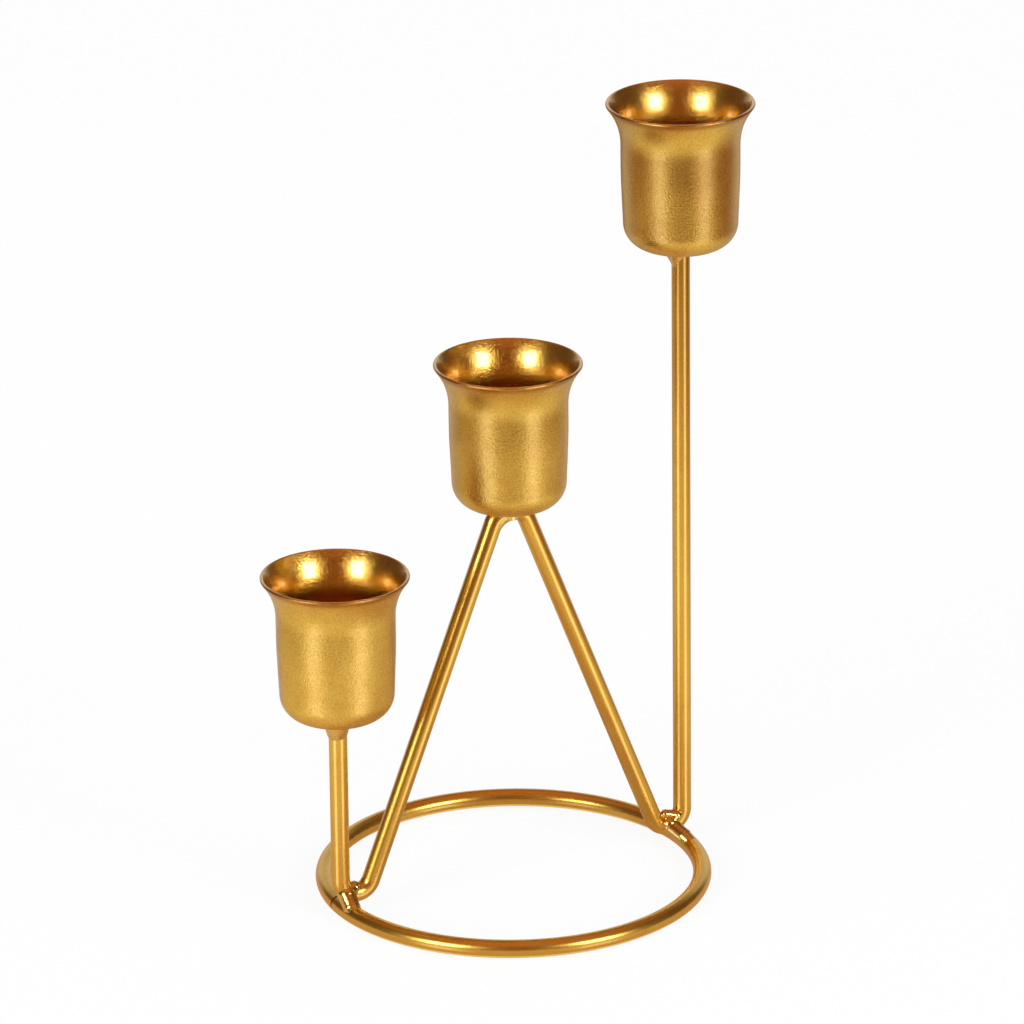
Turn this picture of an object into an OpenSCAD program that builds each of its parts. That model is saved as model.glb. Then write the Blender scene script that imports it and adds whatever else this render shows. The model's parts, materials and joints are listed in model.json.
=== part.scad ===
/* [Base ring] */
// Outside width of the ring that the stand rests on
ring_od = 87; // [74:1:110]
// Thickness of the ring's wire
ring_wire_d = 4; // [3:0.5:5]
// Open seam where the two ends of the ring's wire meet
ring_seam = 0.6; // [0.2:0.1:1]
// Bearing of that seam, seen from above, beside the left foot
ring_seam_angle = 176.5; // [175:0.5:184]

/* [Wire frame] */
// Thickness of the one long wire that carries the cups
frame_wire_d = 4; // [3:0.5:5]
// How far each upright stands outside the middle of the ring's wire
upright_offset = 0.7; // [0:0.1:1.5]
// Radius of the two foot bends, at the wire's middle
foot_bend_r = 3.8; // [3.2:0.1:5]
// Radius of the two bends under the middle cup, at the wire's middle
top_bend_r = 3; // [2.6:0.1:4]
// Length of the short flat run between them, which the middle cup sits on
top_flat = 2.4; // [1:0.1:5]
// How much fuller the wire is in its bends than in its straight runs
bend_swell = 0.02; // [0.01:0.01:0.05]
// How deep a weld beds the wire into what it crosses
weld_sink = 0.2; // [0.1:0.05:0.4]

/* [Cup heights] */
// Height of the low cup's rim above the table
low_rim_z = 80; // [70:1:100]
// Height of the middle cup's rim above the table
middle_rim_z = 121; // [105:1:150]
// Height of the tall cup's rim above the table
tall_rim_z = 173; // [140:1:220]

/* [Candle cup] */
// Height of a cup from its bottom to its rim
cup_h = 32.5; // [30:0.5:36]
// Outside width of the flared rim
rim_d = 32.2; // [29:0.1:36]
// Outside width of the straight part of the wall
body_d = 25.8; // [24:0.1:28]
// Thickness of the pressed sheet
sheet_t = 0.8; // [0.5:0.1:1.2]
// Height above the cup's bottom where the flare starts
flare_z = 23; // [20:0.5:25]
// Height of the straight wall below the flare, which a candle's foot meets first
straight_h = 6.6; // [4:0.2:9]
// Draft of the wall below its straight part, in degrees
draft = 2.4; // [1:0.1:3]
// Outside radius of the rounded corner at the cup's bottom
corner_r = 5.45; // [4:0.05:7]

/* [Weld beads] */
// How far the bead under the tall cup spreads over the cup's bottom, from the wire's side
tall_bead_leg = 1.6; // [1:0.1:2]
// How far it runs down the upright
tall_bead_h = 4.8; // [3:0.1:5.5]
// How far it lies to one side
tall_bead_shift = 1.1; // [0.4:0.05:1.3]
// How far the bead under the low cup spreads over the cup's bottom, from the wire's side
low_bead_leg = 1.3; // [0.8:0.1:1.8]
// How far it runs down the upright
low_bead_h = 5.2; // [3:0.1:5.5]
// How far it lies to one side
low_bead_shift = 0.15; // [0.1:0.05:0.5]
// How far the bead at the top bends spreads over the middle cup's bottom
apex_bead_leg = 1.3; // [0.8:0.1:2]
// How deep that bead runs down the wire's sides
apex_bead_h = 3; // [2.8:0.1:3.2]
// Radius of the bead that fills the corner inside the left one of the two top bends
corner_bead_r = 5.5; // [4.5:0.1:6]
// Size of the foot beads, where 1 is the size of the lumps listed below
foot_bead_scale = 1; // [0.8:0.05:1.2]

/* [Hidden] */
$fn = 96;

// Steps along a rounded stretch of the cup's outline, and round its thin lip
arc_steps = 18;
lip_steps = 8;
// Length over which a straight run enters the bend beside it
bend_lap = 0.2;
// Reach of a solid that only trims another one
trim = 20;
// Hollow of a cup bead's side: 1 is a straight cone, more is hollow and less is full
tall_bead_hollow = 1.3;
low_bead_hollow = 0.7;
// How far the bead at the top bends stands out from the wire's sides at its foot
apex_bead_side = 0.1;
// Radius that blends the straight and the drafted part of a cup's wall outside
wall_blend_r = 120;
blend_steps = 6;
gold = [0.80, 0.60, 0.24];
weld_gold = [0.70, 0.50, 0.18];

ring_wire_r = ring_wire_d / 2;
ring_mid_r = ring_od / 2 - ring_wire_r;
frame_wire_r = frame_wire_d / 2;
upright_x = ring_mid_r + upright_offset;

low_bottom_z = low_rim_z - cup_h;
middle_bottom_z = middle_rim_z - cup_h;
tall_bottom_z = tall_rim_z - cup_h;

// Each foot bend rests on the ring, bedded into it by the weld
foot_x = upright_x - foot_bend_r;
foot_reach = foot_bend_r + frame_wire_r + ring_wire_r - weld_sink;
foot_z = ring_wire_r + sqrt(pow(foot_reach, 2) - pow(ring_mid_r - foot_x, 2));

// The flat run between the top bends is bedded into the middle cup's bottom in the same way
apex_z = middle_bottom_z - top_bend_r - frame_wire_r + weld_sink;

// Each leg is the straight line that touches a foot bend and a top bend
top_x = top_flat / 2;
leg_rise = apex_z - foot_z;
leg_run = foot_x - top_x;
leg_lean = atan2(leg_run, leg_rise) - asin((foot_bend_r + top_bend_r) / norm([leg_run, leg_rise]));
leg_length = leg_run * sin(leg_lean) + leg_rise * cos(leg_lean);

// Outline of a cup, from its drafted wall and the middle line of its flare
lip_r = sheet_t / 2;
body_r = body_d / 2;
straight_z = flare_z - straight_h;
corner_x = body_r - (straight_z - corner_r) * tan(draft) - corner_r / cos(draft);
flare_out = rim_d / 2 - body_r;
flare_up = cup_h - lip_r - flare_z;
flare_mid_r = (pow(flare_up, 2) + pow(flare_out, 2)) / (2 * flare_out);
flare_angle = asin(flare_up / flare_mid_r);
flare_x = body_r - lip_r + flare_mid_r;
lip_x = rim_d / 2 - lip_r;
lip_z = cup_h - lip_r;

// Lumps of each foot's bead: outwards from the ring's wire, forwards, up from its top, and radius
left_lumps = [[-2.3, 0.4, 2.6, 1.5],
              [-0.1, 1.2, 1.6, 2.1],
              [-0.2, 3.4, -0.6, 1.95],
              [-0.3, 5.2, -1.5, 1.7]];
right_lumps = [[-3.9, 0.7, 4.1, 1.2],
               [-1.4, 1.2, 3.5, 1.4],
               [-3.3, 1.5, 1.9, 2.0],
               [-1.2, 4.0, -0.4, 1.9],
               [-0.5, 6.2, -1.5, 1.7]];
// How much slimmer a bead is between two lumps than across them
bead_waist = 0.97;

function arc_points(centre, radius, from, to, steps) =
    [for (i = [0:steps]) let (a = from + (to - from) * i / steps)
        centre + radius * [cos(a), sin(a)]];

function inner_points(points) = [for (i = [1:len(points) - 2]) points[i]];

// Half outline of a cup: up the outside, round the lip and down the inside
function cup_outline() = concat(
    [[0, 0]],
    arc_points([corner_x, corner_r], corner_r, -90, -draft, arc_steps),
    arc_points([body_r - wall_blend_r, straight_z + wall_blend_r * tan(draft / 2)], wall_blend_r,
        -draft, 0, blend_steps),
    arc_points([flare_x, flare_z], flare_mid_r - lip_r, 180, 180 - flare_angle, arc_steps),
    inner_points(arc_points([lip_x, lip_z], lip_r, -flare_angle, 180 - flare_angle, lip_steps)),
    arc_points([flare_x, flare_z], flare_mid_r + lip_r, 180 - flare_angle, 180, arc_steps),
    [[body_r - sheet_t, straight_z]],
    arc_points([corner_x, corner_r], corner_r - sheet_t, -draft, -90, arc_steps),
    [[0, sheet_t]]);

// Half outline of a bead under a cup: flat on top and running down to the wire
function cup_bead_outline(inner_r, leg, height, hollow) = concat(
    [[0, 0]],
    [for (i = [0:arc_steps]) [inner_r + leg * pow(1 - i / arc_steps, hollow), -height * i / arc_steps]],
    [[0, -height]]);

// The same for the bead in the top bends, which is as hollow as a quarter round
function bead_outline(inner_r, leg, height) = concat(
    [[0, 0]],
    [for (i = [0:arc_steps]) let (a = 90 * i / arc_steps)
        [inner_r + leg * (1 - sin(a)), -height * (1 - cos(a))]],
    [[0, -height]]);

module cup(x, bottom_z) {
    translate([x, 0, bottom_z]) rotate_extrude() polygon(cup_outline());
}

module straight_wire(length) {
    translate([0, 0, -bend_lap]) cylinder(h = length + 2 * bend_lap, r = frame_wire_r);
}

module bend(radius, angle) {
    rotate_extrude(angle = angle) translate([radius, 0]) circle(r = frame_wire_r + bend_swell);
}

module upright(x, top_z) {
    translate([x, 0, foot_z - bend_lap]) cylinder(h = top_z - foot_z + bend_lap, r = frame_wire_r);
}

module foot_bend() {
    sweep = 180 - leg_lean;
    translate([foot_x, 0, foot_z]) rotate([90, 0, 0]) rotate([0, 0, -sweep])
        bend(foot_bend_r, sweep);
}

module leg() {
    translate([top_x, 0, apex_z]) rotate([0, -leg_lean, 0]) translate([top_bend_r, 0, 0])
        rotate([180, 0, 0]) straight_wire(leg_length);
}

module top_bend() {
    translate([top_x, 0, apex_z]) rotate([90, 0, 0]) rotate([0, 0, leg_lean])
        bend(top_bend_r, 90 - leg_lean);
}

module top_run() {
    translate([-top_x, 0, apex_z + top_bend_r]) rotate([0, 90, 0]) straight_wire(top_flat);
}

// The whole bent wire, before the welds bed it into the ring and the middle cup
module bent_wire() {
    upright(-upright_x, low_bottom_z);
    upright(upright_x, tall_bottom_z);
    for (side = [0, 1]) mirror([side, 0, 0]) {
        foot_bend();
        leg();
        top_bend();
    }
    top_run();
}

module ring_wire(angle) {
    rotate_extrude(angle = angle) translate([ring_mid_r, ring_wire_r]) circle(r = ring_wire_r);
}

module upright_bead(x, bottom_z, shift, leg, height, hollow) {
    // The bead's foot runs out just inside the wire's surface
    inner_r = frame_wire_r - shift - 0.05;
    translate([x, 0, bottom_z]) difference() {
        translate([-shift, 0, 0]) rotate_extrude()
            polygon(cup_bead_outline(inner_r, frame_wire_r + leg - inner_r, height, hollow));
        translate([0, 0, -trim]) cylinder(h = 2 * trim, r = frame_wire_r);
    }
}

// Follows the wire's middle line round the corner, on a wider curve than the bend's own
module corner_bead() {
    turn = 90 - leg_lean;
    corner_x = -top_x - top_bend_r * tan(turn / 2);
    translate([corner_x + corner_bead_r * tan(turn / 2), 0, apex_z + top_bend_r - corner_bead_r])
        rotate([90, 0, 0]) rotate([0, 0, 90])
            rotate_extrude(angle = turn) translate([corner_bead_r, 0]) circle(r = frame_wire_r - 0.05);
}

module lump(at) {
    translate([ring_mid_r + at[0], -at[1], ring_wire_d + at[2]]) sphere(r = at[3] * foot_bead_scale);
}

// The stretch of a bead between two lumps, a cone that runs from one to the other
module bead_run(from, to) {
    step = [to[0] - from[0], from[1] - to[1], to[2] - from[2]];
    reach = norm(step);
    taper = (from[3] - to[3]) * foot_bead_scale / reach;
    side = bead_waist * foot_bead_scale * sqrt(1 - pow(taper, 2));
    translate([ring_mid_r + from[0], -from[1], ring_wire_d + from[2]])
        rotate([0, acos(step[2] / reach), atan2(step[1], step[0])])
            cylinder(h = reach, r1 = from[3] * side, r2 = to[3] * side);
}

module foot_bead(lumps) {
    difference() {
        union() {
            for (i = [0:len(lumps) - 1]) lump(lumps[i]);
            for (i = [1:len(lumps) - 1]) bead_run(lumps[i - 1], lumps[i]);
        }
        ring_wire(360);
        bent_wire();
    }
}

module base_ring() {
    seam_turn = ring_seam / ring_mid_r * 180 / PI;
    color(gold) rotate([0, 0, ring_seam_angle + seam_turn / 2]) ring_wire(360 - seam_turn);
}

module wire_frame() {
    color(gold) difference() {
        bent_wire();
        ring_wire(360);
        translate([-trim / 2, -trim / 2, middle_bottom_z]) cube(trim);
    }
}

module low_cup() {
    color(gold) cup(-upright_x, low_bottom_z);
}

module middle_cup() {
    color(gold) cup(0, middle_bottom_z);
}

module tall_cup() {
    color(gold) cup(upright_x, tall_bottom_z);
}

module low_cup_weld() {
    color(weld_gold) upright_bead(-upright_x, low_bottom_z, low_bead_shift, low_bead_leg,
        low_bead_h, low_bead_hollow);
}

module middle_cup_weld() {
    color(weld_gold) difference() {
        union() {
            translate([0, 0, middle_bottom_z]) rotate_extrude()
                polygon(bead_outline(frame_wire_r + apex_bead_side, apex_bead_leg - apex_bead_side,
                    apex_bead_h));
            corner_bead();
        }
        bent_wire();
    }
}

module tall_cup_weld() {
    color(weld_gold) upright_bead(upright_x, tall_bottom_z, tall_bead_shift, tall_bead_leg,
        tall_bead_h, tall_bead_hollow);
}

module left_foot_weld() {
    color(weld_gold) mirror([1, 0, 0]) foot_bead(left_lumps);
}

module right_foot_weld() {
    color(weld_gold) foot_bead(right_lumps);
}

base_ring();
wire_frame();
low_cup();
middle_cup();
tall_cup();
low_cup_weld();
middle_cup_weld();
tall_cup_weld();
left_foot_weld();
right_foot_weld();
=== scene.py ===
import json
import math

import bpy
from mathutils import Matrix, Vector


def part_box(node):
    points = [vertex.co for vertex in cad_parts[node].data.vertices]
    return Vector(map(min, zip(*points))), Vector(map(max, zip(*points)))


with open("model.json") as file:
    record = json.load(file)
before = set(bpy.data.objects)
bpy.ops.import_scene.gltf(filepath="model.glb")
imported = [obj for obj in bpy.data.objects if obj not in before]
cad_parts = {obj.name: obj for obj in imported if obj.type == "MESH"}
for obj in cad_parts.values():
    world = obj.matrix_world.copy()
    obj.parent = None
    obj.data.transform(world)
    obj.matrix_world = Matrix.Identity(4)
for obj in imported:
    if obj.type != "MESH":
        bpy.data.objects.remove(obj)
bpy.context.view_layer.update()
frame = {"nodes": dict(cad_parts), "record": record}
nodes = frame["nodes"]
scene = bpy.context.scene
MM = 0.001

# Cups, from the frame: where their rims are, and how far apart their axes stand
CUP_BOXES = [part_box(cup) for cup in ("low_cup", "middle_cup", "tall_cup")]
RIM_HEIGHTS = [high.z for low, high in CUP_BOXES]
CUP_SPACING = CUP_BOXES[2][1].x - CUP_BOXES[1][1].x

# Camera: angles in degrees, distances in metres, lens and film in millimetres
VIEW_AZIMUTH = -27.16
VIEW_ELEVATION = 21.04
VIEW_ROLL = -0.62
VIEW_DISTANCE = 1.705
VIEW_AIM = Vector((0.00059, 0, 0.08654))
LENS = 277.5
FILM_WIDTH = 36
CLIP_NEAR, CLIP_FAR = 0.05, 50

# Studio: bearings in degrees from the camera's, towards its right, distances in metres, lights as radiances
SOFTBOX_BEARINGS = {"left": -42.5, "right": 49}
SOFTBOX_HEIGHT_ANGLE = 21.9
SOFTBOX_DISTANCE = 3.0
SOFTBOX_SIZE = (1.18, 1.36)
SOFTBOX_LEVEL = 7.2
ROOM_GREY = 0.7
WHITE = (1, 1, 1)
BLACK = (0.0, 0.0, 0.0)

FLOOR_REACH = 4.0
FLOOR_CORNERS = 96
FLOOR_GREY = 0.86
FLOOR_MOTTLE = 0.01
FLOOR_MOTTLE_SCALE, FLOOR_MOTTLE_DETAIL = 3.0, 3.0
FLOOR_MOTTLE_RANGE = (0.3, 0.7)
FLOOR_ROUGHNESS = 0.4
FLOOR_GLOW = 0.9

# Painted room, in the place of the real room and table: glowing painted reflections seen only in the metal;
# its table tones go by distance, its wall tones by bearing
PAINTED_ROOM_REACH = 3.8
PAINTED_ROOM_LIFT = 1 * MM
PAINTED_ROOM_HOLE = 1 * MM
PAINTED_ROOM_SIDES, PAINTED_ROOM_TIERS = 72, 12
PAINTED_ROOM_WALL_FOOT = (2 * MM, 10 * MM)
PAINTED_ROOM_WALL_TONES = [(18, (0.21, 0.065, 0.025)), (45, (0.13, 0.07, 0.04))]
PAINTED_ROOM_WALL_COVER = [(0, 1.0), (135, 1.0), (150, 0.3), (180, 0.3)]
PAINTED_ROOM_WALL_OPEN_TO = 36
PAINTED_ROOM_WALL_CLOSES_FROM = 0.7
PAINTED_ROOM_CEILING_COLOUR = (0.54, 0.205, 0.09)
PAINTED_ROOM_CEILING_FROM = (42, 62)
# Painted reflection tones of the table, by distance from the object
PAINTED_ROOM_TABLE_TONES = [
    (0.03, (0.50, 0.33, 0.22)), (0.05, (0.67, 0.48, 0.34)), (0.15, (0.97, 0.86, 0.60)),
    (0.26, (0.73, 0.57, 0.36)), (0.38, (0.25, 0.065, 0.03)), (0.6, (0.24, 0.065, 0.03))]
PAINTED_ROOM_TABLE_COVER = [(0, 1.0), (132, 1.0), (146, 0.75), (158, 1.0), (180, 1.0)]
# Painted shades in the reflected table, by bearing, over a span of distances
PAINTED_ROOM_SHADES = [
    ([(0, 0.0), (60, 0.0), (95, 0.12), (180, 0.12)], (0.0, 0.01)),
    ([(0, 0.5), (22, 0.5), (45, 0.0), (180, 0.0)], (0.27, 0.37)),
    ([(0, 0.0), (138, 0.0), (152, 0.5), (180, 0.5)], (0.06, 0.10))]
PAINTED_ROOM_REAR_TONE = (0.5, 0.46, 0.55)
PAINTED_ROOM_REAR_SHARE = [(0, 0.0), (109, 0.0), (123, 1.0), (146, 1.0), (158, 0.0), (180, 0.0)]
PAINTED_ROOM_REAR_RADII = (0.08, 0.12)
TABLE_GLOSS_TONES = [
    (0.156, (0.145, 0.15, 0.215)), (0.26, (0.178, 0.186, 0.252)), (0.4, (0.176, 0.176, 0.235))]
TABLE_GLOSS_ROUGHNESS = 0.13

# Paints: grain and ripple are heights of bumps in millimetres, and mottle is how much roughness varies
LIGHT_GOLD = (0.845, 0.62, 0.14)
DEEP_GOLD = (0.65, 0.40, 0.07)
WIRE_LIGHT_GOLD = (0.82, 0.555, 0.10)
WIRE_DEEP_GOLD = (0.72, 0.44, 0.07)
PAINT_VALUES = {
    "gold_sheet": dict(light=LIGHT_GOLD, deep=DEEP_GOLD, rough=0.31, grain=0.075, grain_scale=2800,
                       ripple=0.02, coat=1.0, mottle=1.0, seed=1.3, inner_rough=0.205),
    "gold_wire": dict(light=WIRE_LIGHT_GOLD, deep=WIRE_DEEP_GOLD, rough=0.285, grain=0.003, grain_scale=3200,
                      ripple=0.004, coat=0.3, mottle=0.35, seed=4.1),
    "gold_weld": dict(light=LIGHT_GOLD, deep=DEEP_GOLD, rough=0.20, grain=0.02, grain_scale=2600,
                      ripple=0.02, coat=0.9, mottle=1.0, seed=7.7)}
SEED_STEPS = (1, 0.37, -0.21)
FINE_DETAIL = 2.0
FLAKE_CONTRAST = 0.6
CLOUD_SCALE, CLOUD_DETAIL = 160, 3.0
PEEL_SCALE = 700
FLAKE_SHARE, CLOUD_SHARE = 0.7, 0.3
DEEP_AT, LIGHT_AT = 0.36, 0.62
ROUGHNESS_SPREAD = (-0.05, 0.07)
COAT_ROUGHNESS = 0.12
COAT_IOR = 1.8
SPECULAR_TINT = (1.0, 0.86, 0.74)

# Cups' paint: it is smoother and coated inside, with painted warm bounce light inside, a painted shade band
# under the rim and a painted highlight tint on the rim's edge
OUTER_COAT = 0.15
# Painted warm bounce light: the colour inside the cups is made warmer
INNER_PAINTED_BOUNCE_TINT = (1.0, 0.9, 0.78)
UPWARD_WEIGHT = -0.6
SIDE_CHANGE = (-0.15, 0.15)
# Painted highlight tint: the rim's rounded edge, where its highlight falls, is paler and pinker
RIM_EDGE_HIGHLIGHT_TINT = (0.88, 0.54, 0.32)
RIM_HIGHLIGHT_TINT_FADE = (0.15, 0.45)
# Painted shade in a band just under each rim, broken into patches by noise
RIM_PAINTED_SHADE = (0.62, 0.44, 0.28)
RIM_PAINTED_SHADE_DEPTHS = (0.9 * MM, 1.9 * MM)
RIM_PAINTED_SHADE_SIDES = (0.0, 0.4)
RIM_PATCH_SCALE = 220
RIM_PATCH_RANGE = (0.35, 0.6)
RIM_PATCH_SHARES = (0.7, 1.0)


def direction(azimuth, elevation):
    """Points from the object towards something seen at that bearing and height."""
    turn, rise = math.radians(azimuth), math.radians(elevation)
    return Vector((math.sin(turn) * math.cos(rise), -math.cos(turn) * math.cos(rise), math.sin(rise)))


def make_camera():
    """The camera, placed so that the view fits the photograph's."""
    camera = bpy.data.objects.new("camera", bpy.data.cameras.new("camera"))
    scene.collection.objects.link(camera)
    back = direction(VIEW_AZIMUTH, VIEW_ELEVATION)
    turn = (-back).to_track_quat("-Z", "Y").to_matrix().to_4x4()
    roll = Matrix.Rotation(math.radians(VIEW_ROLL), 4, "Z")
    camera.matrix_world = Matrix.Translation(VIEW_AIM + back * VIEW_DISTANCE) @ turn @ roll
    camera.data.lens = LENS
    camera.data.sensor_width = FILM_WIDTH
    camera.data.clip_start = CLIP_NEAR
    camera.data.clip_end = CLIP_FAR
    scene.camera = camera


def add_node(tree, kind, values=(), **settings):
    """A new node with these values on its inputs and these settings."""
    node = tree.nodes.new(kind)
    for name, value in settings.items():
        setattr(node, name, value)
    for name, value in dict(values).items():
        node.inputs[name].default_value = value
    return node


def feed(tree, socket, value):
    """Puts a socket, a number or a tuple on an input."""
    if isinstance(value, bpy.types.NodeSocket):
        tree.links.new(value, socket)
    else:
        socket.default_value = value


def blank_material(name):
    """A material without nodes, and its tree."""
    material = bpy.data.materials.new(name)
    material.use_nodes = True
    material.node_tree.nodes.clear()
    return material, material.node_tree


def show(tree, shader):
    """Makes the shader the surface of the material."""
    output = add_node(tree, "ShaderNodeOutputMaterial")
    tree.links.new(shader, output.inputs["Surface"])


def mix_shaders(tree, share, first, second):
    """A shader between two."""
    node = add_node(tree, "ShaderNodeMixShader")
    for i, value in enumerate((share, first, second)):
        tree.links.new(value, node.inputs[i])
    return node.outputs["Shader"]


def colour_ramp(tree, fac, stops):
    """A ramp from a list of (place, (r, g, b)), fed by fac."""
    ramp = add_node(tree, "ShaderNodeValToRGB")
    while len(ramp.color_ramp.elements) < len(stops):
        ramp.color_ramp.elements.new(0.5)
    for element, (place, colour) in zip(ramp.color_ramp.elements, stops):
        element.position = place
        element.color = (*colour, 1)
    tree.links.new(fac, ramp.inputs["Fac"])
    return ramp.outputs["Color"]


def noise(tree, where, scale, detail=FINE_DETAIL, roughness=0.5):
    """Noise between 0 and 1."""
    node = add_node(tree, "ShaderNodeTexNoise", {"Scale": scale, "Detail": detail, "Roughness": roughness})
    tree.links.new(where, node.inputs["Vector"])
    return node.outputs["Fac"]


def bump(tree, height, distance, after=None):
    """A bumped normal, over another one where that is given."""
    node = add_node(tree, "ShaderNodeBump", {"Strength": 1.0, "Distance": distance})
    tree.links.new(height, node.inputs["Height"])
    if after is not None:
        tree.links.new(after, node.inputs["Normal"])
    return node.outputs["Normal"]


def maths(tree, operation, *inputs):
    """A maths node of the inputs, each a number or a socket."""
    node = add_node(tree, "ShaderNodeMath", operation=operation)
    for socket, value in zip(node.inputs, inputs):
        feed(tree, socket, value)
    return node.outputs["Value"]


def vectors(tree, operation, *inputs):
    """A vector maths node of the inputs, each a tuple or a socket."""
    node = add_node(tree, "ShaderNodeVectorMath", operation=operation)
    for socket, value in zip(node.inputs, inputs):
        feed(tree, socket, value)
    return node.outputs["Value" if operation in ("DOT_PRODUCT", "LENGTH") else "Vector"]


def span(tree, value, start, end, low=0.0, high=1.0):
    """Goes from low to high while the value goes from start to end."""
    ends = {"From Min": start, "From Max": end, "To Min": low, "To Max": high}
    node = add_node(tree, "ShaderNodeMapRange", ends)
    tree.links.new(value, node.inputs["Value"])
    return node.outputs["Result"]


def blend(tree, share, first, second):
    """A colour between two, each a socket or (r, g, b)."""
    node = add_node(tree, "ShaderNodeMix", data_type="RGBA")
    tree.links.new(share, node.inputs["Factor"])
    for socket, value in zip((node.inputs[6], node.inputs[7]), (first, second)):
        feed(tree, socket, (*value, 1) if isinstance(value, tuple) else value)
    return node.outputs[2]


def shifted(tree, place, seed):
    """The place moved by the seed, so that each paint has its own pattern."""
    node = add_node(tree, "ShaderNodeMapping", {"Location": tuple(step * seed for step in SEED_STEPS)})
    tree.links.new(place, node.inputs["Vector"])
    return node.outputs["Vector"]


def cup_sides(tree, place):
    """Which side of a cup's wall this is: 1 outside, -1 inside, near 0 on the rim, less where it looks up."""
    parts = add_node(tree, "ShaderNodeSeparateXYZ")
    tree.links.new(place, parts.inputs["Vector"])
    from_axis = add_node(tree, "ShaderNodeCombineXYZ")
    across = maths(tree, "WRAP", parts.outputs["X"], CUP_SPACING / 2, -CUP_SPACING / 2)
    tree.links.new(across, from_axis.inputs["X"])
    tree.links.new(parts.outputs["Y"], from_axis.inputs["Y"])
    normal = add_node(tree, "ShaderNodeTexCoord").outputs["Normal"]
    outward = vectors(tree, "DOT_PRODUCT", vectors(tree, "NORMALIZE", from_axis.outputs["Vector"]), normal)
    upward = vectors(tree, "DOT_PRODUCT", normal, (0, 0, 1))
    return maths(tree, "MULTIPLY_ADD", upward, UPWARD_WEIGHT, outward)


def rim_share(tree, place):
    """How near the surface is to the top of a cup, for the painted shade under the rim: 1 close under the
    rim, 0 further down.
    """
    height = vectors(tree, "DOT_PRODUCT", place, (0, 0, 1))
    share = 0.0
    for top in RIM_HEIGHTS:
        below = maths(tree, "ABSOLUTE", maths(tree, "SUBTRACT", height, top))
        share = maths(tree, "MAXIMUM", share, span(tree, below, *RIM_PAINTED_SHADE_DEPTHS, 1.0, 0.0))
    return share


def cup_colour(tree, colour, sides, place, where):
    """The paint's colour, with painted warm bounce light inside the cup, a painted shade band below the rim,
    broken up by noise, and a painted highlight tint on its edge.
    """
    # Painted warm bounce light inside the cup
    inner = vectors(tree, "MULTIPLY", colour, INNER_PAINTED_BOUNCE_TINT)
    colour = blend(tree, span(tree, sides, *SIDE_CHANGE), inner, colour)
    # Painted shade under the rim, in noisy patches
    patches = span(tree, noise(tree, where, RIM_PATCH_SCALE), *RIM_PATCH_RANGE, *RIM_PATCH_SHARES)
    under_rim_shade = maths(tree, "MULTIPLY", rim_share(tree, place), patches)
    under_rim_shade = maths(tree, "MULTIPLY", under_rim_shade, span(tree, sides, *RIM_PAINTED_SHADE_SIDES))
    colour = blend(tree, under_rim_shade, colour, vectors(tree, "MULTIPLY", colour, RIM_PAINTED_SHADE))
    # Painted highlight tint on the rim's rounded edge
    edge = span(tree, maths(tree, "ABSOLUTE", sides), *RIM_HIGHLIGHT_TINT_FADE, 1.0, 0.0)
    return blend(tree, edge, colour, RIM_EDGE_HIGHLIGHT_TINT)


def gold_paint(name, light, deep, rough, grain, grain_scale, ripple, coat, mottle, seed, inner_rough=None):
    """Metallic gold paint: flakes give the grain, and a thin clear layer lies over them."""
    material, tree = blank_material(name)
    place = add_node(tree, "ShaderNodeTexCoord").outputs["Object"]
    where = shifted(tree, place, seed)
    flakes = noise(tree, where, grain_scale, roughness=FLAKE_CONTRAST)
    cloud = noise(tree, where, CLOUD_SCALE, CLOUD_DETAIL)
    clouding = span(tree, cloud, 0.0, 1.0, 0.0, CLOUD_SHARE)
    lightness = maths(tree, "MULTIPLY_ADD", flakes, FLAKE_SHARE, clouding)
    colour = colour_ramp(tree, lightness, [(DEEP_AT, deep), (LIGHT_AT, light)])
    if inner_rough is not None:
        sides = cup_sides(tree, place)
        rough = span(tree, sides, *SIDE_CHANGE, inner_rough, rough)
        coat = span(tree, sides, *SIDE_CHANGE, coat, OUTER_COAT)
        colour = cup_colour(tree, colour, sides, place, where)
    spread = span(tree, flakes, 0.0, 1.0, *(end * mottle for end in ROUGHNESS_SPREAD))
    relief = bump(tree, noise(tree, where, PEEL_SCALE), ripple * MM)
    relief = bump(tree, flakes, grain * MM, after=relief)
    shader = add_node(tree, "ShaderNodeBsdfPrincipled", {
        "Metallic": 1.0, "Specular Tint": (*SPECULAR_TINT, 1),
        "Coat Roughness": COAT_ROUGHNESS, "Coat IOR": COAT_IOR})
    feed(tree, shader.inputs["Base Color"], colour)
    feed(tree, shader.inputs["Roughness"], maths(tree, "ADD", spread, rough))
    feed(tree, shader.inputs["Coat Weight"], coat)
    feed(tree, shader.inputs["Normal"], relief)
    show(tree, shader.outputs["BSDF"])
    return material


def dress_pieces():
    """Gives each piece the paint of its slot."""
    paints = {slot: gold_paint(slot, **values) for slot, values in PAINT_VALUES.items()}
    for row in frame["record"]["subparts"]:
        piece = nodes[row["node"]]
        piece.data.materials.clear()
        piece.data.materials.append(paints[row["material_slot"]])


def seen_rays(tree):
    """One for rays by which the camera, metal or glass sees a surface, else nought."""
    path = add_node(tree, "ShaderNodeLightPath")
    seen = path.outputs["Is Camera Ray"]
    for kind in ("Is Glossy Ray", "Is Transmission Ray"):
        seen = maths(tree, "MAXIMUM", seen, path.outputs[kind])
    return seen


def add_stage_mesh(name, points, faces, material):
    """A new object of the studio."""
    mesh = bpy.data.meshes.new(name)
    mesh.from_pydata(points, [], faces)
    mesh.materials.append(material)
    item = bpy.data.objects.new(name, mesh)
    scene.collection.objects.link(item)
    return item


def circle(radius, height, corners):
    """Points of a level circle round the object's axis."""
    turns = [2 * math.pi * i / corners for i in range(corners)]
    return [(radius * math.cos(turn), radius * math.sin(turn), height) for turn in turns]


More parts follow.
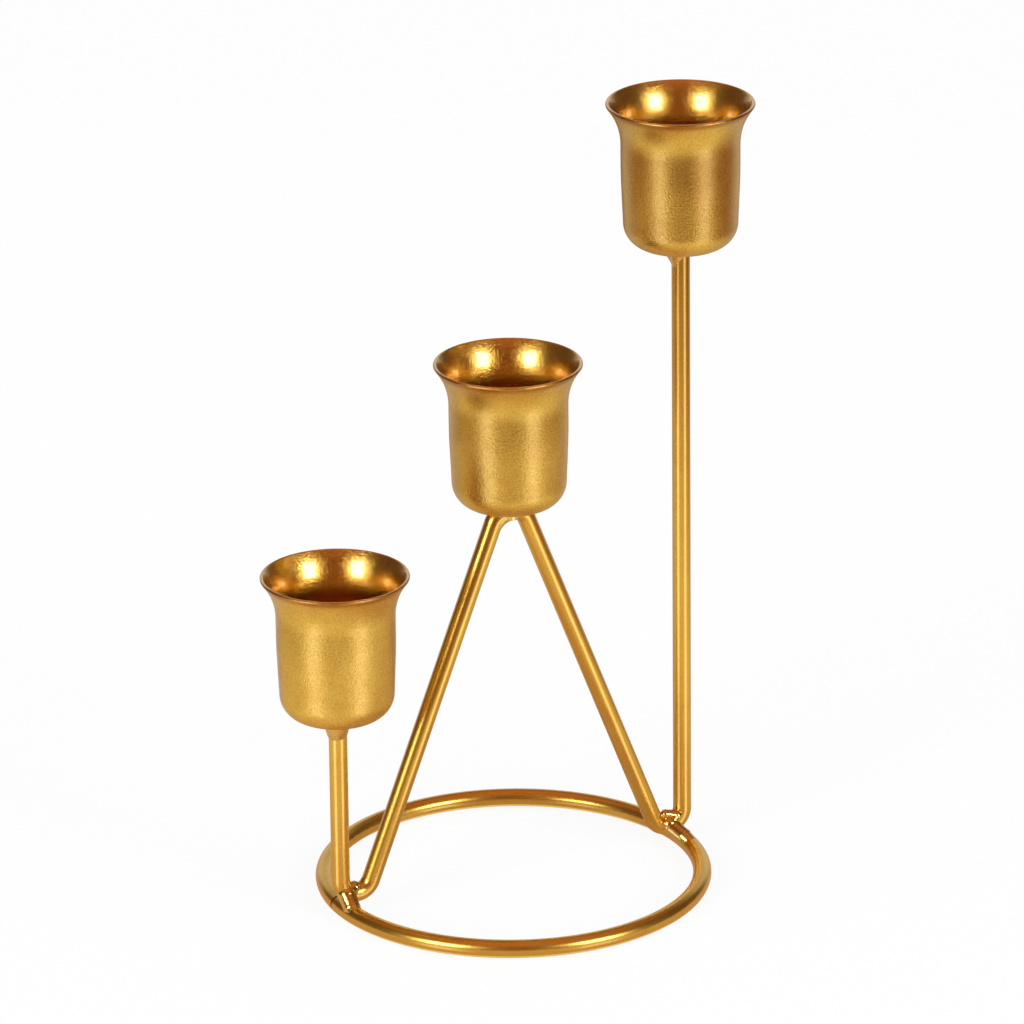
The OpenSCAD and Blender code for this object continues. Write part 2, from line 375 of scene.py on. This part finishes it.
def make_floor():
    """The pale floor, which looks white to the camera and in reflections."""
    material, tree = blank_material("floor")
    where = add_node(tree, "ShaderNodeTexCoord").outputs["Object"]
    tone = noise(tree, where, FLOOR_MOTTLE_SCALE, FLOOR_MOTTLE_DETAIL)
    greys = [(FLOOR_GREY - FLOOR_MOTTLE,) * 3, (FLOOR_GREY + FLOOR_MOTTLE,) * 3]
    matt = add_node(tree, "ShaderNodeBsdfDiffuse", {"Roughness": FLOOR_ROUGHNESS})
    tree.links.new(colour_ramp(tree, tone, list(zip(FLOOR_MOTTLE_RANGE, greys))), matt.inputs["Color"])
    glow = add_node(tree, "ShaderNodeEmission", {"Color": (*WHITE, 1), "Strength": 1.0})
    share = span(tree, seen_rays(tree), 0.0, 1.0, 0.0, FLOOR_GLOW)
    show(tree, mix_shaders(tree, share, matt.outputs["BSDF"], glow.outputs["Emission"]))
    rim = circle(FLOOR_REACH, 0, FLOOR_CORNERS)
    floor = add_stage_mesh("floor", rim, [list(range(FLOOR_CORNERS))], material)


def make_room():
    """A grey world, which looks white to the camera and in reflections."""
    world = bpy.data.worlds.new("room")
    world.use_nodes = True
    tree = world.node_tree
    sky = tree.nodes["Background"]
    sky.inputs["Color"].default_value = (*WHITE, 1)
    tree.links.new(span(tree, seen_rays(tree), 0.0, 1.0, ROOM_GREY, 1.0), sky.inputs["Strength"])
    scene.world = world


def add_softbox(name, bearing):
    """A lit panel that faces the object. Its power is what gives its face the named level."""
    width, height = SOFTBOX_SIZE
    lamp = bpy.data.lights.new(name, "AREA")
    lamp.shape = "RECTANGLE"
    lamp.size = width
    lamp.size_y = height
    lamp.energy = SOFTBOX_LEVEL * math.pi * width * height
    panel = bpy.data.objects.new(name, lamp)
    scene.collection.objects.link(panel)
    towards = direction(VIEW_AZIMUTH + bearing, SOFTBOX_HEIGHT_ANGLE)
    panel.location = VIEW_AIM + towards * SOFTBOX_DISTANCE
    panel.rotation_mode = "QUATERNION"
    panel.rotation_quaternion = towards.to_track_quat("Z", "Y")


def colour_by_bearing(tree, turn, stops):
    """A colour by the bearing from the camera's, from a list of (degrees, (r, g, b))."""
    return colour_ramp(tree, turn, [(degrees / 180, colour) for degrees, colour in stops])


def value_by_bearing(tree, turn, stops):
    """A value by the bearing from the camera's, from a list of (degrees, value)."""
    most = max(value for degrees, value in stops)
    shade = colour_by_bearing(tree, turn, [(degrees, (value / most,) * 3) for degrees, value in stops])
    return maths(tree, "MULTIPLY", shade, most)


def table_tones(tree, turn, reach):
    """Painted reflection of the table that the metal sees: pale near the object, with painted shades, and a
    bluish stretch behind.
    """
    shade = 0.0
    for stops, radii in PAINTED_ROOM_SHADES:
        part = maths(tree, "MULTIPLY", value_by_bearing(tree, turn, stops), span(tree, reach, *radii))
        shade = maths(tree, "MAXIMUM", shade, part)
    rear = value_by_bearing(tree, turn, PAINTED_ROOM_REAR_SHARE)
    rear = maths(tree, "MULTIPLY", rear, span(tree, reach, *PAINTED_ROOM_REAR_RADII))
    tones = blend(tree, shade, colour_ramp(tree, reach, PAINTED_ROOM_TABLE_TONES), BLACK)
    return blend(tree, rear, tones, PAINTED_ROOM_REAR_TONE)


def wall_tones(tree, turn, height):
    """Painted reflection of the walls that the metal sees, and of the ceiling above them."""
    low, high = (PAINTED_ROOM_REACH * math.sin(math.radians(angle)) for angle in PAINTED_ROOM_CEILING_FROM)
    walls = colour_by_bearing(tree, turn, PAINTED_ROOM_WALL_TONES)
    return blend(tree, span(tree, height, low, high), walls, PAINTED_ROOM_CEILING_COLOUR)


def painted_room_cover(tree, turn, height, on_wall):
    """How far the painted room hides what lies behind it. Its wall is partly open behind the object, low
    down.
    """
    open_height = PAINTED_ROOM_REACH * math.sin(math.radians(PAINTED_ROOM_WALL_OPEN_TO))
    upper = span(tree, height, PAINTED_ROOM_WALL_CLOSES_FROM * open_height, open_height)
    wall = maths(tree, "MAXIMUM", value_by_bearing(tree, turn, PAINTED_ROOM_WALL_COVER), upper)
    cover = add_node(tree, "ShaderNodeMix")
    table = value_by_bearing(tree, turn, PAINTED_ROOM_TABLE_COVER)
    for name, value in (("Factor", on_wall), ("A", table), ("B", wall)):
        tree.links.new(value, cover.inputs[name])
    return cover.outputs["Result"]


def painted_room_material():
    """Painted reflections that glow by themselves, and a gloss on the table that mirrors the softboxes."""
    material, tree = blank_material("painted_room")
    place = add_node(tree, "ShaderNodeTexCoord").outputs["Object"]
    flat = vectors(tree, "MULTIPLY", place, (1, 1, 0))
    reach = vectors(tree, "LENGTH", flat)
    height = vectors(tree, "DOT_PRODUCT", place, (0, 0, 1))
    facing = vectors(tree, "DOT_PRODUCT", vectors(tree, "NORMALIZE", flat), (0, -1, 0))
    turn = maths(tree, "DIVIDE", maths(tree, "ARCCOSINE", facing), math.pi)
    on_wall = span(tree, height, *PAINTED_ROOM_WALL_FOOT)
    glow = add_node(tree, "ShaderNodeEmission", {"Strength": 1.0})
    tones = blend(tree, on_wall, table_tones(tree, turn, reach), wall_tones(tree, turn, height))
    tree.links.new(tones, glow.inputs["Color"])
    clear = add_node(tree, "ShaderNodeBsdfTransparent").outputs["BSDF"]
    painted_room = mix_shaders(tree, painted_room_cover(tree, turn, height, on_wall), clear, glow.outputs["Emission"])
    gloss = add_node(tree, "ShaderNodeBsdfAnisotropic", {"Roughness": TABLE_GLOSS_ROUGHNESS})
    shine = blend(tree, on_wall, colour_ramp(tree, reach, TABLE_GLOSS_TONES), BLACK)
    tree.links.new(shine, gloss.inputs["Color"])
    both = add_node(tree, "ShaderNodeAddShader")
    tree.links.new(painted_room, both.inputs[0])
    tree.links.new(gloss.outputs["BSDF"], both.inputs[1])
    show(tree, both.outputs["Shader"])
    return material


def make_painted_room():
    """Brown painted reflections on the table and round the room, glowing though no lamp, which only the
    metal's reflections show.
    """
    profile = [(PAINTED_ROOM_HOLE, PAINTED_ROOM_LIFT), (PAINTED_ROOM_REACH, PAINTED_ROOM_LIFT)]
    for tier in range(1, PAINTED_ROOM_TIERS):
        rise = tier * math.pi / 2 / PAINTED_ROOM_TIERS
        profile.append((PAINTED_ROOM_REACH * math.cos(rise), PAINTED_ROOM_LIFT + PAINTED_ROOM_REACH * math.sin(rise)))
    points = []
    for radius, height in profile:
        points += circle(radius, height, PAINTED_ROOM_SIDES)
    top = len(points)
    points.append((0, 0, PAINTED_ROOM_REACH))
    sides = [(i, (i + 1) % PAINTED_ROOM_SIDES) for i in range(PAINTED_ROOM_SIDES)]
    faces = []
    for lower in range(0, top - PAINTED_ROOM_SIDES, PAINTED_ROOM_SIDES):
        upper = lower + PAINTED_ROOM_SIDES
        faces += [(lower + i, lower + j, upper + j, upper + i) for i, j in sides]
    last = top - PAINTED_ROOM_SIDES
    faces += [(last + i, last + j, top) for i, j in sides]
    painted_room = add_stage_mesh("painted_room", points, faces, painted_room_material())
    painted_room.rotation_euler.z = math.radians(VIEW_AZIMUTH)
    painted_room.visible_camera = False
    painted_room.visible_diffuse = False
    painted_room.visible_transmission = False
    painted_room.visible_shadow = False


make_camera()
dress_pieces()
make_floor()
make_painted_room()
make_room()
for side, bearing in SOFTBOX_BEARINGS.items():
    add_softbox("softbox_" + side, bearing)

scene.view_settings.view_transform = "Standard"
